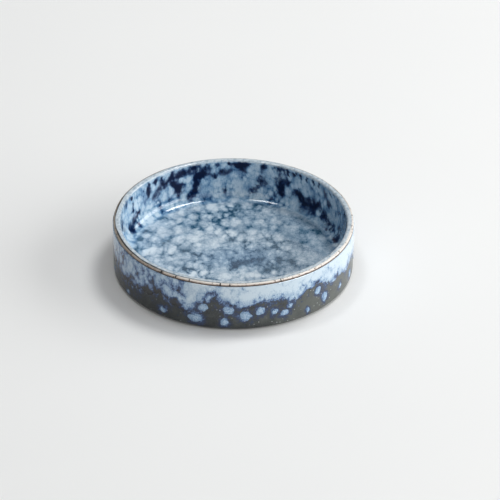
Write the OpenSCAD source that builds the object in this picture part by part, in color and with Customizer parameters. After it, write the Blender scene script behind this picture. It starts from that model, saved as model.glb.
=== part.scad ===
// Round soy sauce dish in stoneware: a clay body with a dark base glaze and a pale cloudy glaze over it.
// The origin is the centre of the foot on the table, +Z is up, and lengths are millimetres.

/* [Dish] */
// Outside diameter over the pale band
dish_d = 95; // [80:1:120]
// Height from the table to the top of the lip
dish_h = 21.5; // [17:0.5:30]
// Glazed thickness of the floor above the underside
floor_t = 4.1; // [2.5:0.1:7]
// Radius between the floor and the wall of the well
well_r = 4.5; // [2:0.5:8]
// Glazed thickness of the wall at the lip
wall_t = 3.1; // [2.8:0.1:5]
// Outward lean of the inside wall in degrees
wall_lean = 1.5; // [0:0.5:6]

/* [Lip] */
// Radius of the lip's outer corner
lip_out_r = 1.5; // [1.3:0.1:1.9]
// Radius of the lip's inner corner
lip_in_r = 1; // [0.8:0.1:1.5]
// Radius of the bare clay bead on the outer corner
bead_r = 0.55; // [0.45:0.05:0.65]
// Direction of the bead above level, in degrees
bead_angle = 45; // [40:1:50]
// Angle from the bead to the edge of the inner pale glaze, in degrees
cloud_gap = 31; // [28:1:40]

/* [Foot] */
// Distance from the outside of the dish in to the foot ring
foot_inset = 4.5; // [3:0.5:15]
// Width of the foot ring
foot_w = 5; // [2:0.5:12]
// Height of the glazed underside above the table
foot_h = 0.6; // [0.5:0.1:1.5]
// Bevel on both edges of the foot ring
foot_bevel = 0.25; // [0.1:0.05:0.4]
// Radius of the bottom edge of the outside wall
edge_r = 1.2; // [0.9:0.1:2.2]

/* [Glaze] */
// Thickness of the dark base glaze
base_t = 0.25; // [0.15:0.05:0.4]
// Thickness of the pale cloudy glaze
cloud_t = 0.25; // [0.15:0.05:0.4]
// Thickness of the loose spots
spot_t = 0.2; // [0.1:0.05:0.25]
// Diameter of the largest spot
spot_d = 4.2; // [2:0.2:4.4]

/* [Band] */
// Height of the unbroken pale band below the top of the lip
band_h = 5.5; // [4:0.5:8]
// Height of the dark wall left below the longest run, above the rounded bottom edge
dark_h = 4.8; // [4.6:0.2:8]

/* [Hidden] */
$fn = 96;
// Straight steps in a rounded corner of the section
arc_steps = 12;
// Straight steps between two neighbouring runs of the band's edge
drip_steps = 4;
// Clear wall between a spot and the band's edge
spot_gap = 0.3;
// How far a cutting or limiting solid runs past what it cuts
overrun = 2;

wall_r = dish_d / 2;
glaze_t = base_t + cloud_t;
base_r = wall_r - cloud_t;
floor_z = foot_h + floor_t;
foot_r = wall_r - foot_inset;
clay_under_z = foot_h + base_t;
band_z = dish_h - band_h;
band_top_z = dish_h - lip_out_r;

// Corner centres of the section, in radius and height
lip_out = [wall_r - lip_out_r, dish_h - lip_out_r];
lip_in = [wall_r - wall_t + lip_in_r, dish_h - lip_in_r];
edge = [wall_r - edge_r, foot_h + edge_r - cloud_t];
drip_h = band_z - edge.y - dark_h;
well_z = floor_z + well_r;
well_reach = well_r + lip_in_r + (lip_in.y - well_z) * sin(wall_lean);
well = [lip_in.x - well_reach / cos(wall_lean), well_z];
bead_reach = lip_out_r - bead_r;
bead = lip_out + bead_reach * [cos(bead_angle), sin(bead_angle)];

// How far each run goes down, as a share of the longest, in equal steps round the dish from the back
drip_shares = [0.4, 0.6, 0.8, 0.5, 0.3, 0.5, 0.7, 0.9, 0.6, 0.4, 0.5, 0.7,
               0.8, 0.7, 0.7, 0.8, 0.9, 0.9, 0.7, 0.5, 0.7, 0.9, 0.3, 0.1,
               0.4, 0.5, 0.3, 0.3, 0.5, 0.3, 0.1, 0.5, 0.5, 0.6, 0.5, 0.7,
               0.7, 0.8, 0.5, 0.4, 0.6, 0.8, 0.5, 0.3, 0.5, 0.7, 0.9, 0.6];

// Spots: angle from the front in degrees, height share of the dark wall below the band, diameter share
spot_shares = [[-18, 0.4, 1], [-14, 0.9, 0.9], [-4, 0.1, 0.8], [-2, 0.9, 0.9], [6, 0.6, 1], [13, 0.8, 0.9],
               [20, 0.5, 0.6], [25, 0.4, 0.7], [28, 0.8, 0.5], [38, 0.1, 0.5], [44, 0.8, 0.9], [49, 0.4, 0.9],
               [62, 0.4, 0.5], [75, 0.2, 0.7], [88, 0.5, 0.4], [100, 0.3, 0.7], [115, 0.6, 0.5], [125, 0.1, 0.7],
               [140, 0.4, 0.8], [150, 0.7, 0.5], [162, 0.2, 0.9], [172, 0.5, 0.6], [186, 0.3, 0.7],
               [200, 0.6, 0.7], [210, 0.2, 0.6], [225, 0.5, 0.5], [238, 0.6, 0.5], [250, 0.1, 0.6],
               [265, 0.5, 0.7], [280, 0.2, 0.5], [300, 0.1, 0.4], [325, 0.2, 0.6]];

// Points of an arc about a centre, from one angle to another, with both ends
function arc(centre, r, from, to) =
    [for (i = [0:arc_steps]) let (a = from + (to - from) * i / arc_steps) centre + r * [cos(a), sin(a)]];

// The same arc without its ends
function arc_inside(centre, r, from, to) =
    [for (i = [1:arc_steps - 1]) let (a = from + (to - from) * i / arc_steps) centre + r * [cos(a), sin(a)]];

// Angle at the lip corner, and at the bead's own centre, where a line at a depth runs into the bead
function bead_gap(depth) =
    let (r = lip_out_r - depth)
    acos((r * r + bead_reach * bead_reach - bead_r * bead_r) / (2 * r * bead_reach));
function bead_turn(depth) =
    let (r = lip_out_r - depth, a = bead_gap(depth))
    atan2(r * sin(a), r * cos(a) - bead_reach);

// Section of the inside at a depth under the glazed surface: well floor, well wall, lip, up to the bead
function inside_line(depth, gap) = concat(
    [[0, floor_z - depth]],
    arc(well, well_r + depth, -90, -wall_lean),
    arc(lip_in, lip_in_r - depth, 180 - wall_lean, 90),
    arc_inside(lip_out, lip_out_r - depth, 90, bead_angle + gap),
    [lip_out + (lip_out_r - depth) * [cos(bead_angle + gap), sin(bead_angle + gap)]]);

// Section of the outside at a depth under the pale band's surface: bead, wall, bottom edge, to the foot ring
function outside_line(depth) = concat(
    arc(lip_out, lip_out_r - depth, bead_angle - bead_gap(depth), 0),
    arc(edge, edge_r - depth, 0, -90),
    [[foot_r, edge.y - edge_r + depth]]);

// Point of the bead's surface at a turn about its centre, and the surface between two turns without its ends
function bead_point(turn) = bead + bead_r * [cos(bead_angle + turn), sin(bead_angle + turn)];
function bead_line(from, to) = arc_inside(bead, bead_r, bead_angle + from, bead_angle + to);

// Bead surface across the base glaze, on the well side and outside, and its points where the bare clay begins
inner_break = bead_line(bead_turn(glaze_t), bead_turn(cloud_t));
outer_break = bead_line(-bead_turn(cloud_t), -bead_turn(glaze_t));
inner_break_end = bead_point(bead_turn(cloud_t));
outer_break_end = bead_point(-bead_turn(cloud_t));

// Height of the band's ragged edge at an angle from the front, eased from run to run
function drip_share(i) = drip_shares[(i + 2 * len(drip_shares)) % len(drip_shares)];
function band_edge_z(angle) =
    let (place = (angle + 180) * len(drip_shares) / 360,
         i = floor(place),
         ease = (1 - cos(180 * (place - i))) / 2)
    band_z - drip_h * (drip_share(i) + (drip_share(i + 1) - drip_share(i)) * ease);

function reversed(list) = [for (i = [len(list) - 1:-1:0]) list[i]];

// Tube of a thickness on the dark wall, from the rounded bottom edge to the top of the band
module wall_shell(shell_t) {
    rotate_extrude() translate([base_r, edge.y]) square([shell_t, band_top_z - edge.y]);
}

// Turns to an angle from the front and points a flat outline outwards through the wall
module through_wall(angle) {
    rotate([0, 0, angle - 90]) translate([wall_r / 2, 0, 0]) rotate([90, 0, 90])
        linear_extrude(height = wall_r / 2 + overrun) children();
}

module clay_body() {
    color("tan") rotate_extrude() polygon(concat(
        inside_line(glaze_t, bead_gap(glaze_t)),
        inner_break,
        [inner_break_end],
        bead_line(bead_turn(cloud_t), -bead_turn(cloud_t)),
        [outer_break_end],
        outer_break,
        outside_line(glaze_t),
        [[foot_r, foot_bevel],
         [foot_r - foot_bevel, 0],
         [foot_r - foot_w + foot_bevel, 0],
         [foot_r - foot_w, foot_bevel],
         [foot_r - foot_w, clay_under_z],
         [0, clay_under_z]]));
}

module inner_base_glaze() {
    color("midnightblue") rotate_extrude() polygon(concat(
        inside_line(glaze_t, bead_gap(glaze_t)),
        inner_break,
        reversed(inside_line(cloud_t, bead_gap(cloud_t)))));
}

module inner_cloud_glaze() {
    color("lightsteelblue") rotate_extrude() polygon(concat(
        inside_line(cloud_t, cloud_gap),
        reversed(inside_line(0, cloud_gap))));
}

module outer_base_glaze() {
    color("darkslategray") rotate_extrude() polygon(concat(
        outside_line(cloud_t),
        reversed(outside_line(glaze_t)),
        reversed(outer_break)));
}

// The band is a ring of flat columns that clear the round wall inside and end on the ragged edge below
module outer_cloud_glaze() {
    columns = len(drip_shares) * drip_steps;
    step = 360 / columns;
    clear_r = base_r / cos(step / 2);
    points = [for (i = [0:columns - 1]) let (a = step * i, low_z = band_edge_z(a))
        for (corner = [[clear_r, low_z], [wall_r, low_z], [wall_r, band_top_z], [clear_r, band_top_z]])
            [corner.x * sin(a), -corner.x * cos(a), corner.y]];
    faces = [for (i = [0:columns - 1], k = [0:3])
        let (here = 4 * i, next = 4 * ((i + 1) % columns), m = (k + 1) % 4)
        each [[here + k, here + m, next + m], [here + k, next + m, next + k]]];
    color("lightsteelblue") polyhedron(points, faces);
}

// One round spot on the dark wall, below the lowest edge of the band that it passes
module glaze_spot(angle, height_share, d) {
    reach = asin(d / 2 / base_r);
    top_z = min([for (a = [-reach:reach / 2:reach]) band_edge_z(angle + a)]) - spot_gap - d / 2;
    low_z = edge.y + d / 2;
    intersection() {
        wall_shell(spot_t);
        through_wall(angle) translate([0, low_z + (top_z - low_z) * height_share]) circle(d = d);
    }
}

module glaze_spots() {
    color("cornflowerblue") for (s = spot_shares) glaze_spot(s[0], s[1], spot_d * s[2]);
}

module underside_glaze() {
    color("darkslategray") translate([0, 0, foot_h]) cylinder(r = foot_r - foot_w, h = base_t);
}

clay_body();
inner_base_glaze();
inner_cloud_glaze();
outer_base_glaze();
outer_cloud_glaze();
glaze_spots();
underside_glaze();
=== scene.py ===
from itertools import product

import bpy
import numpy as np
from mathutils import Matrix, Vector


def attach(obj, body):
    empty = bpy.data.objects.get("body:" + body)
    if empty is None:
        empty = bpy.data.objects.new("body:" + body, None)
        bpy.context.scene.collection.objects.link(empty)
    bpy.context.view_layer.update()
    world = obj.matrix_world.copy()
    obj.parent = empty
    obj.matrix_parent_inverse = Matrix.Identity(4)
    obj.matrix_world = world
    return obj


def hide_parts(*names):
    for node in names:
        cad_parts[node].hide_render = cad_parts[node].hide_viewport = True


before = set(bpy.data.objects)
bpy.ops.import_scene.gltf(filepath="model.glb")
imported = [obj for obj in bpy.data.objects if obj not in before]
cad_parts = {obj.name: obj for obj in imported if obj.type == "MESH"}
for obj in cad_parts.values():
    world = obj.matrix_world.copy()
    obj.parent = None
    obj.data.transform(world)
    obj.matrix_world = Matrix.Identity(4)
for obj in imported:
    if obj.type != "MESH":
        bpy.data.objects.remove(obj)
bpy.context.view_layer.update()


# Table
# A smooth pale sheet under the dish, seen only as a plain ground for its soft shadow.
# It belongs to the studio and not to the dish.

MM = 0.001


def colour(red, green, blue):
    """A screen colour of 0 to 255 per channel as the shader's linear colour, by the screen's usual curve."""
    screen = np.array([red, green, blue]) / 255
    linear = np.where(screen <= 0.04045, screen / 12.92, ((screen + 0.055) / 1.055) ** 2.4)
    return (*linear.tolist(), 1.0)


def wire(tree, kind, inputs, **settings):
    """Adds a shader node and gives its outputs. Settings go to the node, and an input is a link where it is
    a socket, else a value. Helpers that are given a socket add their node to that socket's own tree."""
    node = tree.nodes.new(kind)
    for name, value in settings.items():
        setattr(node, name, value)
    for name, value in inputs.items():
        if isinstance(value, bpy.types.NodeSocket):
            tree.links.new(value, node.inputs[name])
        else:
            node.inputs[name].default_value = value
    return node.outputs


def mixed(share, first, second):
    """Two colours mixed by a share: none of the second at zero, all of it at one."""
    return wire(share.id_data, "ShaderNodeMix", {0: share, 6: first, 7: second}, data_type="RGBA")[2]


def place_in_mm(tree, squeeze=1.0):
    """Object coordinates in millimetres, with heights times a share, which draws marks out upright."""
    place = wire(tree, "ShaderNodeTexCoord", {})["Object"]
    return wire(tree, "ShaderNodeMapping", {"Vector": place, "Scale": (1 / MM, 1 / MM, squeeze / MM)})[0]


def new_grain_effect():
    """The node group of the mottle that the table, the clay and all glazes share: fractal noise at a place,
    as a value from 0 to 1 and as its swing, which is that value less one half."""
    effect = bpy.data.node_groups.new("grain", "ShaderNodeTree")
    for name, kind in (("Place", "Vector"), ("Scale", "Float"), ("Detail", "Float"), ("Roughness", "Float")):
        effect.interface.new_socket(name, in_out="INPUT", socket_type="NodeSocket" + kind)
    for name in ("Grain", "Swing"):
        effect.interface.new_socket(name, in_out="OUTPUT", socket_type="NodeSocketFloat")
    given = wire(effect, "NodeGroupInput", {})
    settings = {name: given[name] for name in ("Scale", "Detail", "Roughness")}
    noise = wire(effect, "ShaderNodeTexNoise", {"Vector": given["Place"], **settings})["Fac"]
    swing = wire(effect, "ShaderNodeMath", {0: noise, 1: 0.5}, operation="SUBTRACT")[0]
    wire(effect, "NodeGroupOutput", {"Grain": noise, "Swing": swing})
    return effect


grain_effect = new_grain_effect()


def grain(place, scale, detail, roughness=0.5):
    """The grain effect placed in a material: its value and its swing, with so many marks to the millimetre
    and so many finer layers of them."""
    inputs = {"Place": place, "Scale": scale, "Detail": detail, "Roughness": roughness}
    outputs = wire(place.id_data, "ShaderNodeGroup", inputs, node_tree=grain_effect)
    return outputs["Grain"], outputs["Swing"]


def new_object(name, data):
    """An object for a mesh, a lamp or a camera, placed in the scene."""
    held = bpy.data.objects.new(name, data)
    scene.collection.objects.link(held)
    return held


def new_finish(piece, name, roughness, **constants):
    """Gives a piece a material whose one Principled shader has these constants: its tree and that shader."""
    finish = bpy.data.materials.new(name)
    finish.use_nodes = True
    piece.data.materials.append(finish)
    shader = finish.node_tree.nodes["Principled BSDF"]
    shader.inputs["Roughness"].default_value = roughness
    for socket, value in constants.items():
        shader.inputs[socket.replace("_", " ")].default_value = value
    return finish.node_tree, shader


scene = bpy.context.scene
table_half = 2.5
table_rows = 9

along = np.linspace(-table_half, table_half, table_rows)
table_points = np.stack([*np.meshgrid(along, along), np.zeros((table_rows, table_rows))], axis=-1)
corner = np.arange(table_rows ** 2).reshape(table_rows, table_rows)
table_faces = np.stack([corner[:-1, :-1], corner[:-1, 1:], corner[1:, 1:], corner[1:, :-1]], axis=-1)
table_mesh = bpy.data.meshes.new("table")
table_mesh.from_pydata(table_points.reshape(-1, 3).tolist(), [], table_faces.reshape(-1, 4).tolist())
table = new_object("table", table_mesh)

tree, shader = new_finish(table, "pale_table", 0.55)
table_mottle, _ = grain(place_in_mm(tree), scale=0.006, detail=3)
table_pale = mixed(table_mottle, colour(241, 242, 241), colour(236, 237, 237))
tree.links.new(table_pale, shader.inputs["Base Color"])


# Light and camera
# Soft lamps: a low one at the right that throws the long shadow, two small ones overhead that draw the
# bright lines in the well, a weak one behind and a wide one in front.
# The camera looks down on the dish from the front with a long lens.

dish_middle = Vector((0, 0, 10)) * MM
room_strength = 0.09
photo_width = 500
sensor_width = 36.0
lens_pixels = 4000
camera_place = Vector((0, -1334.39, 851.08)) * MM
camera_aim = Vector((6.62, 11.25, 0)) * MM
camera_roll = 0.63


def soft_lamp(name, azimuth, elevation, distance, width, height, power):
    """A rectangular lamp that faces the dish from a distance, along an azimuth from +X towards +Y and an
    elevation, both in degrees."""
    lamp = bpy.data.lights.new(name, "AREA")
    lamp.shape = "RECTANGLE"
    lamp.size, lamp.size_y, lamp.energy = width, height, power
    turn, rise = np.radians([azimuth, elevation])
    way = Vector((np.cos(rise) * np.cos(turn), np.cos(rise) * np.sin(turn), np.sin(rise)))
    held = new_object(name, lamp)
    held.location = dish_middle + way * distance
    held.rotation_euler = way.to_track_quat("Z", "Y").to_euler()


soft_lamp("right_lamp", azimuth=-1, elevation=21, distance=1.5, width=1.8, height=0.9, power=22.0)
soft_lamp("top_right_lamp", azimuth=40, elevation=65, distance=1.2, width=0.38, height=0.33, power=5.4)
soft_lamp("top_left_lamp", azimuth=139, elevation=74, distance=1.2, width=0.27, height=0.19, power=1.8)
soft_lamp("back_lamp", azimuth=95, elevation=36, distance=1.2, width=1.2, height=0.6, power=1.2)
soft_lamp("front_lamp", azimuth=278, elevation=38, distance=2.0, width=3.0, height=2.0, power=16.0)

room = bpy.data.worlds.new("white_room")
room.use_nodes = True
room_light = room.node_tree.nodes["Background"].inputs
room_light["Color"].default_value = colour(255, 255, 255)
room_light["Strength"].default_value = room_strength
scene.world = room
scene.view_settings.view_transform = "Standard"

lens = bpy.data.cameras.new("camera")
lens.sensor_width = sensor_width
lens.lens = sensor_width * lens_pixels / photo_width
scene.camera = new_object("camera", lens)
gaze = (camera_aim - camera_place).to_track_quat("-Z", "Y").to_matrix().to_4x4()
roll = Matrix.Rotation(np.radians(camera_roll), 4, "Z")
scene.camera.matrix_world = Matrix.Translation(camera_place) @ gaze @ roll


# Clay body
# The thrown and trimmed stoneware dish itself: buff clay, seen bare only on the bead along the lip's
# outer corner and on the foot ring, where the glaze was wiped off before the firing.

# Sizes of the dish in millimetres
dish_radius, dish_height = 47.5, 21.5
base_thick, cloud_thick = 0.25, 0.25
floor_height, well_corner, wall_lean = 4.7, 4.5, 1.5
wall_thick, lip_in_corner, lip_out_corner = 3.1, 1.0, 1.5
bead_radius, bead_angle = 0.55, 45.0
foot_inset, foot_width, foot_height, foot_bevel = 4.5, 5.0, 0.6, 0.25
edge_corner = 1.2
# The waver of a thrown rim: share of its radius and rise, and the turn at which each starts
round_waver, round_start = 0.0007, 0.6
rise_waver, rise_start = 0.05, 1.1
# Shares of a piece's square map: its disc, the disc's hole, and the breadth that hidden rows keep
map_disc, map_hole, map_hidden = 0.49, 0.12, 0.05
glaze_thick = base_thick + cloud_thick
base_radius = dish_radius - cloud_thick
foot_out = dish_radius - foot_inset
foot_in = foot_out - foot_width

lip_out = np.array([dish_radius - lip_out_corner, dish_height - lip_out_corner])
lip_in = np.array([dish_radius - wall_thick + lip_in_corner, dish_height - lip_in_corner])
edge = np.array([dish_radius - edge_corner, foot_height + edge_corner - cloud_thick])
lean = np.radians(wall_lean)
well_height = floor_height + well_corner
well_reach = well_corner + lip_in_corner + (lip_in[1] - well_height) * np.sin(lean)
well = np.array([lip_in[0] - well_reach / np.cos(lean), well_height])
bead_reach = lip_out_corner - bead_radius
bead = lip_out + bead_reach * np.array([np.cos(np.radians(bead_angle)), np.sin(np.radians(bead_angle))])


def sums(operation, first, second, third=0.0):
    """The result of one Math node on a socket and one or two more sockets or numbers."""
    return wire(first.id_data, "ShaderNodeMath", {0: first, 1: second, 2: third}, operation=operation)[0]


def added(total, value, weight=1.0):
    """A total plus a value times a weight."""
    return sums("MULTIPLY_ADD", value, weight, total)


def eased(value, low, high, start=0.0, end=1.0):
    """A value carried smoothly from start to end as it goes from low to high, and held outside them."""
    inputs = {"Value": value, "From Min": low, "From Max": high, "To Min": start, "To Max": end}
    return wire(value.id_data, "ShaderNodeMapRange", inputs, interpolation_type="SMOOTHSTEP")[0]


def stored(tree, name):
    """A number that is stored on the points of the piece."""
    return wire(tree, "ShaderNodeAttribute", {}, attribute_name=name)["Fac"]


def add_bump(shader, height, strength, depth):
    """Fine relief: the shader's normal leans as on a surface of that height and depth in millimetres."""
    inputs = {"Height": height, "Strength": strength, "Distance": depth * MM}
    bump = wire(height.id_data, "ShaderNodeBump", inputs)[0]
    height.id_data.links.new(bump, shader.inputs["Normal"])


def point(radius, height):
    """A line of one section point."""
    return np.array([[[radius, height]]], float)


def arc(centre, radius, start, end, count):
    """Section points on a circle: its centre plus its radius along equal angle steps, in degrees.
    An end angle for each column gives a line that differs round the dish."""
    turn = np.radians(np.linspace(start, np.atleast_1d(end), count))
    return np.stack([centre[0] + radius * np.cos(turn), centre[1] + radius * np.sin(turn)], axis=-1)


def join(*lines):
    """One section line from several, each repeated for all columns where it is the same round the dish."""
    columns = max(line.shape[1] for line in lines)
    return np.concatenate([np.broadcast_to(line, (len(line), columns, 2)) for line in lines])


def even_steps(line, step):
    """A line that is the same round the dish, with its points respaced at equal steps of its own length."""
    radius, height = line[:, 0].T
    length = np.concatenate([[0], np.cumsum(np.linalg.norm(np.diff(line[:, 0], axis=0), axis=1))])
    stops = np.linspace(0, length[-1], int(length[-1] / step) + 1)
    return np.stack([np.interp(stops, length, radius), np.interp(stops, length, height)], axis=-1)[:, None]


def bead_gap(depth):
    """Angle at the lip corner between the bead's middle and where a line at that depth runs into the bead,
    by the law of cosines."""
    radius = lip_out_corner - depth
    share = (radius ** 2 + bead_reach ** 2 - bead_radius ** 2) / (2 * radius * bead_reach)
    return np.degrees(np.arccos(share))


def bead_turn(depth):
    """The same meeting point as an angle at the bead's own centre."""
    radius, gap = lip_out_corner - depth, np.radians(bead_gap(depth))
    return np.degrees(np.arctan2(radius * np.sin(gap), radius * np.cos(gap) - bead_reach))


def inside_line(depth, lip_end, step):
    """Section of the dish's inside at a depth under the finished glaze, from the middle of the floor:
    level floor, rounded corner, leaning wall and lip, to an angle on the lip's outer corner."""
    lip_start = 150
    bowl = join(point(0, floor_height - depth), arc(well, well_corner + depth, -90, -wall_lean, count=24))
    wall = join(bowl, arc(lip_in, lip_in_corner - depth, 180 - wall_lean, lip_start, count=6))
    lip = arc(lip_in, lip_in_corner - depth, lip_start, 90, count=9)[1:]
    return join(even_steps(wall, step), lip, arc(lip_out, lip_out_corner - depth, 90, lip_end, count=6))


def outside_line(depth, step):
    """Section of the dish's outside at a depth under the pale band, from the bead down:
    lip corner, upright wall, rounded bottom edge, and in to the foot ring."""
    lip = arc(lip_out, lip_out_corner - depth, bead_angle - bead_gap(depth), 0, count=7)
    bottom = arc(edge, edge_corner - depth, 0, -90, count=14)
    wall = join(lip[-1:], bottom, point(foot_out, edge[1] - edge_corner + depth))
    return join(lip[:-1], even_steps(wall, step))


def spin(line, columns):
    """A section carried round the axis: each point stands at its radius and height, turned from the front
    by equal steps, with the slight waver that a thrown rim has in its roundness and height."""
    angle = 2 * np.pi * np.arange(columns) / columns
    lift = line[..., 1] / dish_height
    radius = line[..., 0] * (1 + round_waver * lift * np.sin(2 * angle + round_start))
    height = line[..., 1] + rise_waver * lift ** 2 * np.sin(3 * angle + rise_start)
    return np.stack(np.broadcast_arrays(radius * np.sin(angle), -radius * np.cos(angle), height), axis=-1)


def face_corners(grid):
    """The four corners of each face of a grid that closes on itself round its columns."""
    beside = np.roll(grid, -1, axis=1)
    return np.stack([grid[:-1], grid[1:], beside[1:], beside[:-1]], axis=2)


def cap_corners(start, grid, end):
    """The three corners of each face that joins a grid's first row to a start, or its last row to an end."""
    first, last = grid[0], grid[-1]
    caps = [[np.broadcast_to(start, first.shape), first, np.roll(first, -1, axis=0)],
            [last, np.broadcast_to(end, last.shape), np.roll(last, -1, axis=0)]]
    return np.swapaxes(np.array(caps), 1, 2)


def on_points(rows, poled):
    """Rows of a grid in the order of a piece's points. A row on the axis is one point and comes last."""
    return np.concatenate([*rows[1:-1], rows[[0, -1], 0]] if poled else rows)


def turned_piece(name, line, columns, shown, **fields):
    """A piece from its closed section. Rows of the grid follow the section and columns go round the dish.
    A row on the axis becomes one point, and otherwise the last row joins the first.
    Its map lays the section out from the middle of a disc, most of it for the rows that are shown.
    Fields are numbers for its rows or columns, which are stored on its points."""
    line = np.broadcast_to(line, (len(line), columns, 2))
    poled = line[0, 0, 0] == 0
    span = np.linalg.norm(np.diff(line.mean(axis=1), axis=0), axis=1)
    span = np.append(span, 0 if poled else np.linalg.norm(line[-1, 0] - line[0, 0]))
    span[shown:] *= map_hidden
    reach = np.concatenate([[0], np.cumsum(span)])
    hole = 0 if poled else map_hole
    reach = hole + (map_disc - hole) * reach / reach[-1]
    angle = 2 * np.pi * np.arange(columns) / columns
    laid = 0.5 + reach[:, None, None] * np.stack([np.sin(angle), -np.cos(angle)], axis=-1)

    number = np.arange(len(line) * columns).reshape(-1, columns)
    if poled:
        number, laid_rows = number[:-2], laid[1:-2]
    else:
        number, laid_rows = np.concatenate([number, number[:1]]), laid
    faces, maps = face_corners(number).reshape(-1, 4).tolist(), face_corners(laid_rows).reshape(-1, 2)
    if poled:
        faces += cap_corners(number.size, number, number.size + 1).reshape(-1, 3).tolist()
        maps = np.concatenate([maps, cap_corners(laid[0], laid_rows, laid[-2]).reshape(-1, 2)])
    piece = new_piece(name, on_points(spin(line, columns) * MM, poled), faces, maps)
    for field, values in fields.items():
        keep_field(piece, field, on_points(np.broadcast_to(values, line.shape[:2]), poled))
    return piece


def new_piece(name, points, faces, maps, sharp=40):
    """A mesh object at the origin from points in metres, faces and the map place of each face corner,
    smooth but for edges that turn by more than the sharp angle, in degrees."""
    mesh = bpy.data.meshes.new(name)
    mesh.from_pydata(points.tolist(), [], faces)
    mesh.uv_layers.new(name="OFBake").data.foreach_set("uv", maps.astype(np.float32).ravel())
    mesh.shade_smooth()
    mesh.set_sharp_from_angle(angle=np.radians(sharp))
    return new_object(name, mesh)


def keep_field(piece, name, values):
    """Stores one number for each point of a piece, for its material to read."""
    field = piece.data.attributes.new(name, "FLOAT", "POINT")
    field.data.foreach_set("value", values.astype(np.float32))


def turn_between(angle, other):
    """The turn from one angle to another the short way round, in degrees."""
    return (angle - other + 180) % 360 - 180


def round_dish(places, columns):
    """A value for each column, drawn straight between the angles from the front for which it is given."""
    return np.interp(turn_between(np.arange(columns) * 360 / columns, 0), *np.transpose(places))


body_columns = 720
body_step = 1.5
# Cracks across the bead: angle from the front and half width, in degrees
bead_cracks = [(-36, 0.8), (-28, 0.4), (-21, 0.4), (-6, 0.3), (-1.5, 0.3), (23, 0.2), (61, 0.4), (95, 0.3),
               (131, 0.4), (160, 0.3), (196, 0.35), (228, 0.4), (251, 0.3), (284, 0.45), (303, 0.35)]
# How brown the bead is, with painted light: the clay's own tone, painted shade towards olive brown on the
# left and a painted highlight towards pale buff on the right; angle from the front in degrees and a share
# from pinkish buff to olive brown
bead_brown = [(-180, 0.6), (-100, 0.95), (-62, 0.9), (-42, 0.6), (-25, 0.3), (0, 0.12), (35, 0.0), (70, 0.1),
              (110, 0.5), (180, 0.6)]
# How far its marks reach in bead radii, and the share of the way down it that stands for the other clay
bead_marks, other_down = 1.1, 0.4

bead_start, bead_end = bead_turn(glaze_thick), bead_turn(cloud_thick)
inner_break = arc(bead, bead_radius, bead_angle + bead_start, bead_angle + bead_end, count=6)[1:]
bead_face = arc(bead, bead_radius, bead_angle + bead_end, bead_angle - bead_end, count=15)[1:-1]
outer_break = arc(bead, bead_radius, bead_angle - bead_end, bead_angle - bead_start, count=6)[:-1]
clay_under = foot_height + base_thick
body_line = join(
    inside_line(glaze_thick, bead_angle + bead_gap(glaze_thick), body_step),
    inner_break,
    bead_face,
    outer_break,
    outside_line(glaze_thick, body_step),
    point(foot_out, foot_bevel),
    point(foot_out - foot_bevel, 0),
    point(foot_in + foot_bevel, 0),
    point(foot_in, foot_bevel),
    point(foot_in, clay_under),
    point(0, clay_under))
body_angle = np.arange(body_columns) * 360 / body_columns
crack_depth = np.max([np.clip(1 - np.abs(turn_between(body_angle, at)) / wide, 0, 1)
                      for at, wide in bead_cracks], axis=0)
aside, over = np.moveaxis(body_line - bead, -1, 0)
bead_down = (bead_angle + bead_end - np.degrees(np.arctan2(over, aside))) / (2 * bead_end)
bead_down = np.where(np.hypot(aside, over) < bead_marks * bead_radius, np.clip(bead_down, 0, 1), other_down)
clay_body = turned_piece(
    "clay_body", body_line, body_columns, len(body_line),
    crack=crack_depth, brown=round_dish(bead_brown, body_columns), down=bead_down)

tree, shader = new_finish(clay_body, "bare_clay", 0.3)
clay_place = place_in_mm(tree)
clay_grain, clay_swing = grain(clay_place, scale=0.9, detail=4)
_, clay_drift = grain(clay_place, scale=0.06, detail=2)
clay_brown = added(stored(tree, "brown"), clay_drift, 0.9)
clay_down = added(stored(tree, "down"), clay_swing, 0.35)
clay_crack = added(stored(tree, "crack"), clay_swing, 2.5)
# Pale buff to olive brown by the share: partly the clay's own tone, with painted shade on the left and a
# painted highlight on the right
buff = mixed(eased(clay_brown, 0.0, 1.0), colour(232, 226, 219), colour(160, 152, 140))
# Darker down the bead: painted shade on its lower, downward-facing half, then a dark line along its foot
buff = mixed(eased(clay_down, 0.5, 0.75, 0.0, 0.8), buff, colour(172, 148, 130))
buff = mixed(eased(clay_down, 0.75, 0.95, 0.0, 0.9), buff, colour(86, 68, 58))
# A dark line along the bead's top, kept only where the bead is painted dark on the shaded left
upper_edge = sums("MULTIPLY", eased(clay_down, 0.1, 0.35, 1.0, 0.0), clay_brown)
buff = mixed(eased(upper_edge, 0.2, 0.7, 0.0, 0.9), buff, colour(52, 46, 44))
flecked = mixed(eased(clay_grain, 0.56, 0.7), buff, colour(84, 68, 60))
cracked = mixed(eased(clay_crack, 0.25, 0.7), flecked, colour(24, 20, 22))
tree.links.new(cracked, shader.inputs["Base Color"])
add_bump(shader, clay_grain, strength=0.4, depth=0.08)
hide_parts("clay_body")
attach(clay_body, "root")


# Inner base glaze
# The dark first coat over the inside of the dish, melted onto the clay. Only its edge along the bead shows,
# as a thin brown-black line, since the pale coat covers the rest. In front and on the right that line is
# painted pale as a painted highlight on the lit lip.

inner_base_columns = 360
inner_base_line = join(
    inside_line(cloud_thick, bead_angle + bead_gap(cloud_thick), body_step),
    inner_break[::-1],
    inside_line(glaze_thick, bead_angle + bead_gap(glaze_thick), body_step)[::-1])
inner_base = turned_piece(
    "inner_base_glaze", inner_base_line, inner_base_columns, len(inner_base_line),
    brown=round_dish(bead_brown, inner_base_columns))

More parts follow.
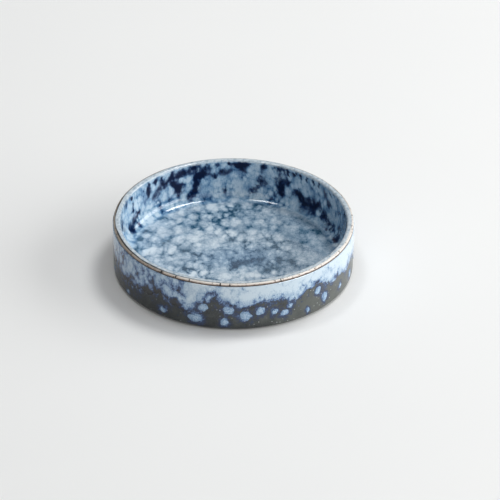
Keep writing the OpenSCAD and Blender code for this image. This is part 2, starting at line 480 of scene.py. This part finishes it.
tree, shader = new_finish(inner_base, "dark_base_glaze", 0.2)
ink_grain, ink_swing = grain(place_in_mm(tree), scale=0.35, detail=3)
ink_share = added(stored(tree, "brown"), ink_swing, 1.2)
ink = mixed(eased(ink_grain, 0.4, 0.65), colour(28, 24, 26), colour(70, 56, 48))
# Pale where the share is low: a painted highlight on the lit lip in front and on the right
ink = mixed(eased(ink_share, 0.2, 0.6), colour(216, 214, 210), ink)
tree.links.new(ink, shader.inputs["Base Color"])
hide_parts("inner_base_glaze")
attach(inner_base, "root")


# Inner cloud glaze
# The pale second coat inside, poured over the dark one. In the firing it broke into rounded clouds on the
# floor and drawn-out feathers on the wall, and the dark coat shows blue and black in the gaps between them.

inner_columns = 500
inner_step, inner_back_step = 0.4, 2.4
# Sorts of puff on the floor and on the wall: how many, their usual radius and their weight in the coat
floor_puffs = [(240, 3.8, 0.65), (1000, 1.9, 0.35), (2400, 0.9, 0.1)]
wall_puffs = [(400, 3.2, 0.55), (1700, 1.5, 0.45)]
floor_stretch, wall_stretch = [1, 0.72, 1], [1, 1, 0.72]
# How unlike the puffs of a sort are, how many places are tried for each, and the height between them
puff_spread, puff_tries, puff_lowest = 0.25, 8, -0.2
# How clouds are pushed about: reach and size of a wide and a fine drift, and the size of thin parts
wide_drift, fine_drift, parting_size = (1.1, 2.6), (0.6, 1.0), 5.0
# The coat is calmer towards the right: level that it keeps to, share and distance
calm_level, calm_share, calm_reach = 0.65, 0.35, 25
cloud_relief, relief_level, wave_relief, wave_size = 0.012, 0.6, 0.04, 9.0
# The edge of the coat on the lip, in degrees: its gap to the bead and its waver, and where it draws back
lip_gap, lip_waver, lip_draw = 26, 15, 8
lip_draw_angle, lip_draw_half = 297, 14
lip_waver_radius, lip_waver_size = 20, 2.5
# Painted shade on the right of the wall, which faces away from the low lamp, laid in with the thin runs:
# angle from the front and depth
right_shade = [(70, -3), (95, -0.7), (155, -0.7), (172, -3)]
# Runs where the pale coat is thin on the wall: angle from the front, share of the wall's height, half width
thin_wall_runs = [
    [(200, 0.9, 2.5), (210, 0.8, 1.5), (220, 0.7, 2), (225, 0.5, 1.5)],
    [(215, 0.7, 1), (210, 0.4, 2.5), (210, 0.2, 1)],
    [(195, 0.8, 2), (200, 0.6, 1.5), (200, 0.3, 1.5), (205, 0.1, 1)],
    [(230, 0.9, 1), (230, 0.6, 1.5)], [(245, 0.7, 1), (245, 0.5, 1)],
    [(240, 0.3, 1.5), (245, 0.2, 2.5), (250, 0.1, 2)],
    [(185, 0.7, 1.5)], [(190, 0.6, 1)], [(180, 0.9, 1), (175, 0.9, 2)], [(165, 0.9, 1.5)], [(155, 0.9, 2)],
    [(165, 0.5, 2), (170, 0.2, 1.5)], [(185, 0.2, 1)],
    [(155, 0.6, 3), (155, 0.3, 2)],
    [(145, 0.4, 2), (140, 0.2, 3), (130, 0.3, 2)],
    [(125, 0.2, 1.5), (115, 0.1, 1.5)], [(120, 0.6, 1.5)], [(105, 0.1, 2.5)], [(95, 0.9, 1)],
]
# Loose runs on the front half of the wall, and nicks under the lip: spans of top, drop and half width
loose_run_spans = [(7, 20), (0.5, 5), (0.8, 2.2)]
nick_spans = [(19.3, 20.8), (0.3, 2), (0.4, 1.0)]
# Thin runs on the floor: place across, place towards the back, half width, and how much shallower they are
thin_floor_runs = [
    [(-6, 33, 1.5), (-2, 32, 1.5)], [(14, 28, 2.5)], [(22, 23, 1.5)], [(30, 24, 2)], [(4, 10, 1.5)],
    [(-6, 4, 1.5), (-1, 4, 1), (4, -1, 1.5)], [(-10, -1, 2)], [(14, -7, 1.5)], [(2, -9, 2)], [(28, 5, 1.5)],
]
floor_run_ease = 0.7
wall_stray, floor_stray = 1.3, 1.6
# The bluer patch in the middle of the floor: its centre, half breadths and reach
blue_patch, blue_patch_half, blue_patch_reach = (2, -2), (16, 9), 1.4


def smoke(places, size, seed):
    """A smooth random field from 0 to 1: seeded values on a cubic lattice of the given spacing,
    blended between neighbouring lattice points with eased weights."""
    cells = 32
    lattice = np.random.default_rng(seed).random((cells, cells, cells))
    spot = places / size
    cell = np.floor(spot).astype(int)
    ease = (spot - cell) ** 2 * (3 - 2 * (spot - cell))
    total = 0
    for step in product((0, 1), repeat=3):
        weight = np.prod(np.where(step, ease, 1 - ease), axis=-1)
        total = total + weight * lattice[tuple(np.moveaxis((cell + step) % cells, -1, 0))]
    return total


def stray(places, seed):
    """How far the edge of a run strays at each place: a smooth random field plus a finer one, about zero."""
    return smoke(places, 1.6, seed) + 0.6 * smoke(places, 0.8, seed + 2) - 0.8


def stroke_depth(across, up, strokes):
    """How deep a place lies in the nearest stroke: one on its middle line, zero at its edge, less outside.
    A stroke is a chain of places with half widths, and the distance is to the nearest point of each part."""
    depth = np.full(np.broadcast_shapes(across.shape, up.shape), -3.0)
    for stroke in strokes:
        for (x0, y0, w0), (x1, y1, w1) in zip(stroke, stroke[1:] or stroke):
            run = (x1 - x0) ** 2 + (y1 - y0) ** 2
            part = np.clip(((across - x0) * (x1 - x0) + (up - y0) * (y1 - y0)) / max(run, 1e-9), 0, 1)
            away = np.hypot(across - x0 - part * (x1 - x0), up - y0 - part * (y1 - y0))
            depth = np.maximum(depth, 1 - away / (w0 + part * (w1 - w0)))
    return depth


def drifted(places, reach, size, seed):
    """Places pushed about along each axis by smooth random fields, so that round marks lose their shape."""
    return places + reach * (np.stack([smoke(places, size, seed + k) for k in range(3)], axis=-1) - 0.5)


def puff_tops(places, centres, radii, lights):
    """Rounded tops that grow into one another: at each place the highest of all puffs. The height of a puff
    is one plus its own light, less the square of the distance from its centre in units of its radius."""
    top = np.full(places.shape[:-1], puff_lowest)
    for centre, radius, light in zip(centres, radii, lights):
        top = np.maximum(top, 1 + light - ((places - centre) ** 2).sum(axis=-1) / radius ** 2)
    return top


def clouds(places, source, stretch, sorts, seed):
    """A coat of clouds on places that are drawn out by a stretch and pushed about: puffs of each sort with
    uneven radii, added up by weight. Their centres lie on the grid of a source surface, and each is the one
    of a few random places that is farthest from those before it.
    Where a wide smooth field is high the clouds part more."""
    soft, seats = [drifted(drifted(grid * stretch, *wide_drift, seed + 10), *fine_drift, seed + 20)
                   for grid in (places, source)]
    draw = np.random.default_rng(seed)
    filled = np.cumsum(np.hypot(source[..., 0], source[..., 1]).mean(axis=1))
    coat = 0
    for count, radius, weight in sorts:
        down, around = draw.random((2, count, puff_tries))
        rows = np.searchsorted(filled, down * filled[-1])
        tries = seats[rows, (around * seats.shape[1]).astype(int)]
        centres = tries[:, 0].copy()
        for number in range(1, count):
            away = np.linalg.norm(tries[number, :, None] - centres[:number], axis=-1).min(axis=1)
            centres[number] = tries[number, away.argmax()]
        radii = radius * np.exp(puff_spread * draw.standard_normal(count))
        lights = draw.uniform(-puff_spread, puff_spread, count)
        coat = coat + weight * puff_tops(soft, centres, radii, lights)
    return 1 - (0.5 + smoke(places * stretch, parting_size, seed + 30)) * (1 - coat)


inner_angle = np.arange(inner_columns) * 360 / inner_columns
inner_turn = np.radians(inner_angle)
lip_circle = np.stack([np.sin(inner_turn), np.cos(inner_turn), np.zeros(inner_columns)], axis=-1)
lip_smoke = smoke(lip_circle * lip_waver_radius, lip_waver_size, seed=3)
lip_drawn = np.clip(1 - np.abs(turn_between(inner_angle, lip_draw_angle)) / lip_draw_half, 0, 1)
cloud_lip_end = bead_angle + lip_gap + lip_waver * lip_smoke + lip_draw * lip_drawn
inner_top = inside_line(0, cloud_lip_end, inner_step)
inner_places = spin(inner_top, inner_columns)

wall_mm = np.pi / 180 * (dish_radius - wall_thick)
wall_height = dish_height - floor_height
wall_strokes = [[(angle * wall_mm, floor_height + share * wall_height, width) for angle, share, width in run]
                for run in thin_wall_runs]
loose = np.random.default_rng(5)
for angle in np.concatenate([loose.uniform(0, 88, 20), loose.uniform(262, 358, 22)]):
    top, drop, width = [loose.uniform(*span) for span in loose_run_spans]
    end_angle = angle + loose.normal(0, 2)
    wall_strokes.append([(angle * wall_mm, top, width), (end_angle * wall_mm, top - drop, width / 2)])
for angle in loose.uniform(0, 360, 60):
    top, drop, width = [loose.uniform(*span) for span in nick_spans]
    wall_strokes.append([(angle * wall_mm, top, width), (angle * wall_mm, top - drop, width / 2)])

inner_x, inner_y, inner_z = np.moveaxis(inner_places, -1, 0)
sway, swing = stray(inner_places, seed=11), stray(inner_places, seed=12)
on_wall = stroke_depth(inner_angle * wall_mm + wall_stray * sway, inner_z + wall_stray * swing, wall_strokes)
# Painted shade on the right of the wall, joined to the thin runs
on_wall = np.maximum(on_wall, np.interp(inner_angle, *np.transpose(right_shade)))
on_floor = stroke_depth(inner_x + floor_stray * sway, inner_y + floor_stray * swing, thin_floor_runs)
radius_now = np.hypot(inner_x, inner_y)
wall_share = np.clip((radius_now - well[0] + 0.5) / 2, 0, 1)
gap_and_shade_depth = np.maximum(on_wall - 4 * (1 - wall_share), on_floor - floor_run_ease - 4 * wall_share)
patch_reach = np.hypot(*[(inner_places[..., k] - blue_patch[k]) / blue_patch_half[k] for k in (0, 1)])
blue = np.clip(blue_patch_reach - patch_reach, 0, 1) * (1 - wall_share)

floor_rows, wall_rows = wall_share.min(axis=1) < 1, wall_share.max(axis=1) > 0
floor_places, wall_places = inner_places[floor_rows], inner_places[wall_rows]
cover = np.zeros(wall_share.shape)
cover[floor_rows] = clouds(floor_places, floor_places, floor_stretch, floor_puffs, seed=81)
cover = calm_level + (cover - calm_level) * (1 - calm_share * np.clip(inner_x / calm_reach, 0, 1))
cover *= 1 - wall_share
wall_cover = clouds(wall_places, wall_places, wall_stretch, wall_puffs, seed=181)
cover[wall_rows] += wall_share[wall_rows] * wall_cover

waves = smoke(inner_places, wave_size, seed=21) - 0.5
relief = cloud_relief * (cover - relief_level) + wave_relief * waves
relief = relief * np.clip(wall_share + radius_now / 4, 0, 1)
slope = np.gradient(inner_top, axis=0)
slope /= np.linalg.norm(slope, axis=-1, keepdims=True)
raised = inner_top + relief[..., None] * np.stack([-slope[..., 1], slope[..., 0]], axis=-1)
raised[0] = inner_top[0]
inner_back = inside_line(cloud_thick, cloud_lip_end, inner_back_step)[::-1]
hidden = np.zeros((len(inner_back), inner_columns))
inner_cloud = turned_piece(
    "inner_cloud_glaze", join(raised, inner_back), inner_columns, len(raised),
    gap=np.concatenate([gap_and_shade_depth, hidden - 3]), cover=np.concatenate([cover, hidden]),
    wall=np.concatenate([wall_share, hidden]), blue=np.concatenate([blue, hidden]))


def ramp(factor, stops):
    """Colours blended in order along a factor from 0 to 1."""
    node = factor.id_data.nodes.new("ShaderNodeValToRGB")
    factor.id_data.links.new(factor, node.inputs[0])
    bar = node.color_ramp.elements
    bar.remove(bar[1])
    bar[0].position = stops[0][0]
    bar[0].color = colour(*stops[0][1])
    for at, shade in stops[1:]:
        bar.new(at).color = colour(*shade)
    return node.outputs[0]


floor_stops = [(0.0, (4, 58, 86)), (0.2, (72, 110, 136)), (0.42, (124, 150, 172)), (0.64, (158, 180, 198)),
               (0.86, (190, 206, 218)), (1.0, (208, 221, 230))]
wall_stops = [(0.0, (14, 50, 90)), (0.25, (58, 104, 146)), (0.5, (108, 148, 184)), (0.75, (152, 185, 210)),
              (1.0, (196, 217, 232))]
lip_stops = [(0.3, (132, 152, 168)), (0.5, (178, 192, 202)), (0.75, (206, 215, 220))]
lip_pale_from, lip_pale_to = dish_height - 0.6, dish_height + 0.4

tree, shader = new_finish(
    inner_cloud, "cloud_glaze_inside", 0.1,Specular_IOR_Level=0.12, Coat_IOR=1.5, Coat_Roughness=0.05)
inner_place = place_in_mm(tree, squeeze=0.6)
inner_grain, inner_swing = grain(inner_place, scale=0.9, detail=5, roughness=0.65)
_, inner_drift = grain(inner_place, scale=0.07, detail=2)
_, inner_fine = grain(inner_place, scale=2.6, detail=2)
grain_lift = added(inner_fine, inner_swing)
# The gap field carries the thin runs and also the painted shade on the right of the wall
gap, laid = stored(tree, "gap"), stored(tree, "cover")
on_wall_share, blue_share = stored(tree, "wall"), stored(tree, "blue")

# The tone of the pale coat: high on the clouds, low between them, along the thin runs and in the painted
# shade on the right of the wall
floor_tone = added(added(-0.83, laid, 1.6), blue_share, -0.3)
floor_tone = sums("SMOOTH_MAX", floor_tone, 0.05, 0.2)
wall_tone = added(-0.26, laid, 1.25)
tone = wire(tree, "ShaderNodeMix", {0: on_wall_share, 2: floor_tone, 3: wall_tone})[0]
tone = added(added(tone, grain_lift, 0.75), inner_drift, 0.15)
tone = sums("SUBTRACT", tone, eased(gap, -1.0, 0.6, 0.0, 0.3))
bluer = sums("MAXIMUM", on_wall_share, sums("MULTIPLY", blue_share, 0.4))
pale = mixed(bluer, ramp(tone, floor_stops), ramp(tone, wall_stops))

# The dark coat where the pale one is cut through, deepened further in the painted shade on the right of the
# wall
cut = added(added(0.4, gap, 0.8), laid, -1.5)
cut = added(added(cut, grain_lift, 1.2), on_wall_share, 0.5)
deep = mixed(on_wall_share, colour(8, 66, 94), colour(12, 42, 86))
navy = mixed(eased(cut, -0.6, 0.0, 0.0, 0.9), pale, deep)
black_share = sums("MULTIPLY", eased(cut, 0.05, 0.3), on_wall_share)
black = mixed(black_share, navy, colour(0, 20, 54))

# The paler, even coat on the lip
lip_place = place_in_mm(tree)
lip_grain, _ = grain(lip_place, scale=0.9, detail=4)
lip_rise = wire(tree, "ShaderNodeSeparateXYZ", {"Vector": lip_place})["Z"]
lip_share = eased(added(lip_rise, lip_grain), lip_pale_from, lip_pale_to)
glazed = mixed(lip_share, black, ramp(lip_grain, lip_stops))
tree.links.new(glazed, shader.inputs["Base Color"])
tree.links.new(eased(cut, -0.2, 0.2, 1.0, 0.0), shader.inputs["Coat Weight"])
add_bump(shader, inner_grain, strength=0.03, depth=0.1)
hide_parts("inner_cloud_glaze")
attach(inner_cloud, "root")


# Outer base glaze
# The dark first coat outside, a satin charcoal that runs from the bead down and under the rounded bottom
# edge to the foot ring. Indigo blooms in it around the pale runs and spots that melted into it.

outer_columns = 720
outer_step, outer_back_step = 0.3, 3.0
band_clear, dark_clear = 5.5, 4.8
spot_width, spot_space = 4.2, 0.3
# How far each run of the pale band goes down, as a share of the longest, in equal steps from the back
drip_shares = np.array([
    0.4, 0.6, 0.8, 0.5, 0.3, 0.5, 0.7, 0.9, 0.6, 0.4, 0.5, 0.7,
    0.8, 0.7, 0.7, 0.8, 0.9, 0.9, 0.7, 0.5, 0.7, 0.9, 0.3, 0.1,
    0.4, 0.5, 0.3, 0.3, 0.5, 0.3, 0.1, 0.5, 0.5, 0.6, 0.5, 0.7,
    0.7, 0.8, 0.5, 0.4, 0.6, 0.8, 0.5, 0.3, 0.5, 0.7, 0.9, 0.6])
# Spots: angle from the front, height share of the dark wall below the band, diameter share, breadth share
spots = np.array([
    (-18, 0.4, 1, 1.3), (-14, 0.9, 0.9, 1), (-4, 0.1, 0.8, 1), (-2, 0.9, 0.9, 1.1), (6, 0.6, 1, 1.2),
    (13, 0.8, 0.9, 1), (20, 0.5, 0.6, 1), (25, 0.4, 0.7, 1.1), (28, 0.8, 0.5, 1), (38, 0.1, 0.5, 0.8),
    (44, 0.8, 0.9, 0.8), (49, 0.4, 0.9, 0.8), (62, 0.4, 0.5, 1), (75, 0.2, 0.7, 1), (88, 0.5, 0.4, 1),
    (100, 0.3, 0.7, 1), (115, 0.6, 0.5, 1), (125, 0.1, 0.7, 1.1), (140, 0.4, 0.8, 1), (150, 0.7, 0.5, 1),
    (162, 0.2, 0.9, 1.1), (172, 0.5, 0.6, 1), (186, 0.3, 0.7, 1), (200, 0.6, 0.7, 1), (210, 0.2, 0.6, 1.1),
    (225, 0.5, 0.5, 1), (238, 0.6, 0.5, 1), (250, 0.1, 0.6, 1), (265, 0.5, 0.7, 1), (280, 0.2, 0.5, 1),
    (300, 0.1, 0.4, 1), (325, 0.2, 0.6, 1)])
# Sorts of puff outside, as inside
outer_puffs = [(430, 2.7, 0.55), (1500, 1.4, 0.45)]
outer_stretch = [1, 1, 0.8]
outer_seed = 91
# How far the charcoal turns to a paler olive: the glaze's olive tint, painted lighter on the lit right as
# painted light and sheen; angle from the front and share
ash_shares = [(-180, 0.4), (-90, 0.1), (-15, 0.15), (12, 0.35), (40, 0.9), (85, 1.0), (130, 0.6), (180, 0.4)]
brown_from, brown_to = lip_out[1] - 0.1, lip_out[1] + 0.2
band_low = dish_height - band_clear
drip_length = band_low - edge[1] - dark_clear


def band_edge(angle):
    """Height of the band's runs at an angle from the front, in degrees: each run's share eased into the next
    by half a cosine wave."""
    place = (angle + 180) % 360 * len(drip_shares) / 360
    run = np.floor(place).astype(int)
    ease = (1 - np.cos(np.pi * (place - run))) / 2
    here, after = drip_shares[run % len(drip_shares)], drip_shares[(run + 1) % len(drip_shares)]
    return band_low - drip_length * (here + (after - here) * ease)


spot_angle, spot_height_share, spot_size, spot_breadth = spots.T
spot_half = spot_width * spot_size / 2
spot_sweep = np.degrees(np.arcsin(spot_half / base_radius))
spot_top = np.min([band_edge(spot_angle + spot_sweep * part) for part in np.linspace(-1, 1, 5)], axis=0)
spot_top = spot_top - spot_space - spot_half
spot_bottom = edge[1] + spot_half
spot_height = spot_bottom + (spot_top - spot_bottom) * spot_height_share

outer_front = outside_line(cloud_thick, outer_step)
outer_back = outside_line(glaze_thick, outer_back_step)[::-1]
outer_base_line = join(outer_front, outer_back, outer_break[::-1])
outer_angle = np.arange(outer_columns) * 360 / outer_columns
outer_height = np.broadcast_to(outer_base_line[..., 1], (len(outer_base_line), outer_columns))
from_spots = np.full(outer_height.shape, 9.0)
for angle, middle, half, breadth in zip(spot_angle, spot_height, spot_half, spot_breadth):
    across = np.radians(turn_between(outer_angle, angle)) * base_radius / breadth
    from_spots = np.minimum(from_spots, np.hypot(across, outer_height - middle) - half)
outer_places = spin(outer_front, outer_columns)
outer_cover = np.zeros(outer_height.shape)
outer_cover[:len(outer_front)] = clouds(outer_places, outer_places, outer_stretch, outer_puffs, outer_seed)
outer_base = turned_piece(
    "outer_base_glaze", outer_base_line, outer_columns, len(outer_front),
    below=band_edge(outer_angle) - outer_height, from_spots=from_spots, cover=outer_cover,
    ash=round_dish(ash_shares, outer_columns))

tree, shader = new_finish(outer_base, "dark_glaze_outside", 0.28)
dark_place = place_in_mm(tree)
_, dark_drift = grain(dark_place, scale=0.25, detail=4)
dark_speck, speck_swing = grain(dark_place, scale=1.3, detail=5, roughness=0.75)
dark_fine, fine_swing = grain(dark_place, scale=2.8, detail=2)
laid, ash_share = stored(tree, "cover"), stored(tree, "ash")

# How far pale glaze has melted into the dark: less with the depth below the band, more beside a spot
level = added(added(-0.65, laid, 1.5), stored(tree, "below"), -0.2)
level = added(added(level, ash_share, -0.25), fine_swing, 2.0)
by_spot = added(added(-0.3, laid, 0.8), stored(tree, "from_spots"), -0.35)
level = added(sums("MAXIMUM", level, by_spot), speck_swing, 2.8)
ash_share = added(ash_share, dark_drift, 1.6)
# Charcoal to paler olive: the glaze's olive tint, painted lighter on the lit right as painted light and
# sheen
charcoal = mixed(eased(ash_share, 0.0, 1.1), colour(38, 43, 46), colour(88, 92, 87))
charcoal = mixed(eased(dark_fine, 0.35, 0.75, 0.0, 0.5), charcoal, colour(92, 96, 94))
bloomed = mixed(eased(level, -0.35, 0.05, 0.0, 0.95), charcoal, colour(42, 56, 88))
bloomed = mixed(eased(level, 0.15, 0.6), bloomed, colour(100, 130, 172))
bloomed = mixed(eased(level, 0.6, 1.1), bloomed, colour(158, 184, 208))
sparkle = wire(tree, "ShaderNodeTexVoronoi", {"Vector": dark_place, "Scale": 0.55})["Distance"]
bloomed = mixed(eased(sparkle, 0.08, 0.14, 0.7, 0.0), bloomed, colour(196, 202, 204))
dark_rise = wire(tree, "ShaderNodeSeparateXYZ", {"Vector": dark_place})["Z"]
bloomed = mixed(eased(dark_rise, brown_from, brown_to), bloomed, colour(62, 50, 45))
tree.links.new(bloomed, shader.inputs["Base Color"])
add_bump(shader, dark_speck, strength=0.25, depth=0.06)
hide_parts("outer_base_glaze")
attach(outer_base, "root")


# Outer cloud glaze
# The pale second coat outside, dipped to half the height. It ran down in feathered tongues as it melted,
# and thins to blue and indigo along their ragged lower edge.

band_columns, band_rows, band_crowding = 960, 72, 1.1
band_hidden_rows = 6
# Where the band ends under the bead, how it rounds off there and below, and how deep it is sunk
band_top, band_over, band_swell = dish_height - lip_out_corner, 0.15, 1.3
band_sink, band_root = 0.03, 0.08
# Depth and breadth of the tongues on the band's edge and of the fringe on those, and its roughness
tongue_deep, tongue_broad, fringe_deep, fringe_broad = 1.3, 4.4, 0.55, 1.7
edge_rough, edge_rough_size = 0.7, 0.7
# Painted light and shade on the band: its tone lowered on the shaded left and raised on the lit right; angle
# from the front and the change of its tone
band_painted_light = [(-180, 0), (-100, -0.2), (-75, -0.65), (-42, -0.65), (-24, -0.2), (-8, 0.2), (30, 0.6),
                 (90, 0.5), (130, 0), (180, 0)]


def tongues(angle, width, seed):
    """Rounded tongues along the rim: cells of uneven breadth, each hanging down as half an ellipse
    whose depth goes with its breadth, so that narrow notches stay between them."""
    circle = 2 * np.pi * base_radius
    cuts = np.sort(np.random.default_rng(seed).uniform(0, 360, int(circle / width)))
    cuts = np.concatenate([cuts[-1:] - 360, cuts, cuts[:1] + 360])
    right = np.searchsorted(cuts, angle % 360)
    broad = cuts[right] - cuts[right - 1]
    across = (angle % 360 - cuts[right - 1]) / broad * 2 - 1
    return np.clip(np.radians(broad) * base_radius, 0, 1.6 * width) / width * np.sqrt(1 - across ** 2)


def ragged_edge(angle):
    """The band's true lower edge: its runs with rounded tongues on them, a finer fringe on those, and a
    smooth random roughness."""
    turn = np.radians(angle)
    rim = base_radius * np.stack([np.sin(turn), -np.cos(turn), np.zeros_like(turn)], axis=-1)
    rough = edge_rough * (smoke(rim, edge_rough_size, seed=33) - 0.5)
    tongue = tongue_deep * tongues(angle, tongue_broad, seed=31)
    fringe = fringe_deep * tongues(angle, fringe_broad, seed=32)
    return band_edge(angle) + tongue_deep - tongue - fringe + rough


band_angle = np.arange(band_columns) * 360 / band_columns
band_bottom = ragged_edge(band_angle)
up_share = np.linspace(0, 1, band_rows)[:, None] ** band_crowding
band_height = band_bottom + (band_top + band_over - band_bottom) * up_share
band_round = np.clip((band_height - band_bottom) / band_swell, 0, 1)
thick = cloud_thick * np.sqrt(1 - (1 - band_round) ** 2)
past_top = np.clip((band_height - band_top) / band_over, 0, 1)
lip_fall = lip_out_corner - np.sqrt(lip_out_corner ** 2 - np.clip(band_height - lip_out[1], 0, None) ** 2)
band_radius = base_radius - band_sink + (thick + band_sink) * (1 - past_top ** 2) - lip_fall
front_line = np.stack([band_radius, band_height], axis=-1)[::-1]
back_line = np.stack([np.minimum(band_radius, base_radius - band_root), band_height], axis=-1)
back_line = back_line[::band_hidden_rows]
band_line = np.concatenate([front_line, back_line])
band_cover = clouds(spin(front_line, band_columns), outer_places, outer_stretch, outer_puffs, outer_seed)
painted_band_light = np.broadcast_to(round_dish(band_painted_light, band_columns), band_cover.shape)
hidden = np.zeros(back_line.shape[:2])
outer_cloud = turned_piece(
    "outer_cloud_glaze", band_line, band_columns, len(front_line),
    above=band_line[..., 1] - band_edge(band_angle), cover=np.concatenate([band_cover, hidden]),
    pale=np.concatenate([painted_band_light, hidden]))

band_stops = [(0.02, (46, 48, 50)), (0.19, (42, 56, 88)), (0.42, (100, 130, 172)), (0.62, (158, 184, 208)),
              (0.83, (186, 206, 222)), (1.0, (204, 220, 232))]
tree, shader = new_finish(outer_cloud, "cloud_glaze_outside", 0.16)
band_place = place_in_mm(tree, squeeze=0.7)
streak, streak_swing = grain(place_in_mm(tree, squeeze=0.24), scale=1.3, detail=4, roughness=0.6)
_, band_grain = grain(band_place, scale=0.8, detail=5, roughness=0.65)
_, band_fine = grain(band_place, scale=2.6, detail=2)

# How thick the pale coat lies: more on the clouds and with the height above its edge
climb = sums("MINIMUM", stored(tree, "above"), 4.5)
level = added(added(-0.65, stored(tree, "cover"), 1.5), climb, 0.28)
level = added(added(level, streak_swing, 0.2), band_grain, 1.4)
# The pale field is painted light and shade: darker on the shaded left, paler on the lit right
level = added(added(level, band_fine, 2.0), stored(tree, "pale"))
tone = wire(tree, "ShaderNodeMapRange", {"Value": level, "From Min": -0.4, "From Max": 2.0})[0]
tree.links.new(ramp(tone, band_stops), shader.inputs["Base Color"])
add_bump(shader, streak, strength=0.15, depth=0.08)
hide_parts("outer_cloud_glaze")
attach(outer_cloud, "root")


# Glaze spots
# Drops of the pale glaze that fell or crept onto the dark wall below the band and melted flat there:
# cornflower in the middle, breaking up into small crystals and an indigo rim.

spot_rings, spot_points = 9, 28
spot_thick, spot_sink = 0.2, 0.06
# How far the lobes of a spot's outline stand out, how fast the finer ones fade, and their limits
lobe_share, lobe_fade, least_reach, most_reach = 0.14, 0.8, 0.6, 1.25
# The map has a square tile for each spot: tiles in a row, and shares of a tile for dome, root and underside
map_tiles, dome_reach, root_reach, under_reach = 6, 0.42, 0.46, 0.47

ring = np.linspace(0, 1, spot_rings + 1)[1:, None]
turn = 2 * np.pi * np.arange(spot_points) / spot_points
wave = np.random.default_rng(41).uniform(-1, 1, (len(spots), 5, 2))
lobes = 0
for k in range(2, 7):
    lobe = wave[:, k - 2, :1] * np.cos(k * turn) + wave[:, k - 2, 1:] * np.sin(k * turn)
    lobes = lobes + lobe_share / (k - 1) ** lobe_fade * lobe
outline = (spot_half[:, None] * np.clip(1 + lobes, least_reach, most_reach))[:, None]
spot_out = spot_breadth[:, None, None] * outline * ring * np.cos(turn)
spot_up = outline * ring * np.sin(turn)
dome = spot_thick * np.sqrt(np.clip(1 - ring ** 2, 0, 1))


def on_dark_wall(out, up, lift):
    """Places on the dark wall: an arc length aside of each spot's angle and a height over its own,
    lifted off the wall."""
    swing = np.radians(spot_angle)[:, None, None] + out / base_radius
    radius = base_radius + lift
    middle = spot_height[:, None, None]
    return np.stack([radius * np.sin(swing), -radius * np.cos(swing), middle + up], axis=-1)


centre = np.zeros((len(spots), 1, 1))
domes = on_dark_wall(spot_out, spot_up, dome - spot_sink * (ring == 1))
roots = on_dark_wall(spot_out[:, -1:], spot_up[:, -1:], -2 * spot_sink)
grid = np.concatenate([domes, roots], axis=1)
tips = [on_dark_wall(centre, centre, lift)[:, 0] for lift in (spot_thick, -2 * spot_sink)]
per_spot = (spot_rings + 1) * spot_points
number = np.arange(per_spot).reshape(-1, spot_points)
first = (per_spot + 2) * np.arange(len(spots))[:, None, None]
side_faces = (face_corners(number).reshape(-1, 4) + first).reshape(-1, 4)
cap_faces = (cap_corners(per_spot, number, per_spot + 1).reshape(-1, 3) + first).reshape(-1, 3)
all_points = np.concatenate([grid.reshape(len(spots), -1, 3), *tips], axis=1)

tile = 1 / map_tiles
tile_row, tile_column = np.divmod(np.arange(len(spots)), map_tiles)
tile_place = np.stack([tile_column, tile_row], axis=-1) * tile + tile / 2
ring_reach = np.append(ring[:, 0] * dome_reach, root_reach) * tile
spot_laid = np.stack([np.cos(turn), np.sin(turn)], axis=-1) * ring_reach[:, None, None]
point_laid = np.concatenate([spot_laid.reshape(-1, 2), [[0, 0], [0, under_reach * tile]]])
point_map = (tile_place[:, None] + point_laid).reshape(-1, 2)
corner_map = point_map[np.concatenate([side_faces.ravel(), cap_faces.ravel()])]
spot_faces = side_faces.tolist() + cap_faces.tolist()
glaze_spots = new_piece("glaze_spots", all_points.reshape(-1, 3) * MM, spot_faces, corner_map)
rim_share = np.concatenate([np.repeat(np.append(ring[:, 0], 1.0), spot_points), [0.0, 1.0]])
keep_field(glaze_spots, "rim", np.tile(rim_share, len(spots)))

spot_stops = [(0.0, (30, 40, 66)), (0.3, (62, 84, 120)), (0.55, (108, 138, 174)), (0.8, (146, 174, 202)),
              (1.0, (176, 198, 218))]
tree, shader = new_finish(glaze_spots, "spot_glaze", 0.2)
spot_place = place_in_mm(tree)
crystals = wire(tree, "ShaderNodeTexVoronoi", {"Vector": spot_place, "Scale": 1.5})["Distance"]
speckle, _ = grain(spot_place, scale=1.8, detail=4, roughness=0.7)
rim = sums("POWER", stored(tree, "rim"), 2.0)
bright = added(added(0.3, speckle, 1.5), rim, -0.3)
bright = added(bright, crystals, -0.3)
tree.links.new(ramp(bright, spot_stops), shader.inputs["Base Color"])
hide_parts("glaze_spots")
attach(glaze_spots, "root")


# Underside glaze
# The dark glaze in the shallow hollow inside the foot ring, level and a little uneven in tone.
# It was brushed onto the clay there and melted into a thin flat disc.

under_columns = 240
under_gap, under_bevel, under_middle = 0.02, 0.05, 0.5
under_radius = foot_in - under_gap
under_line = join(
    point(0, clay_under),
    even_steps(join(point(under_middle, clay_under), point(under_radius, clay_under)), 2.0),
    point(under_radius, foot_height + under_bevel),
    even_steps(join(point(under_radius - under_bevel, foot_height), point(under_middle, foot_height)), 1.0),
    point(0, foot_height))
underside = turned_piece("underside_glaze", under_line, under_columns, len(under_line))

tree, shader = new_finish(underside, "dark_glaze_underside", 0.36)
under_place = place_in_mm(tree)
under_drift, _ = grain(under_place, scale=0.09, detail=4)
under_speck, _ = grain(under_place, scale=1.2, detail=3)
under_dark = mixed(eased(under_drift, 0.4, 0.62), colour(42, 46, 50), colour(66, 64, 58))
under_dark = mixed(eased(under_speck, 0.6, 0.7), under_dark, colour(40, 52, 92))
tree.links.new(under_dark, shader.inputs["Base Color"])
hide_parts("underside_glaze")
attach(underside, "root")
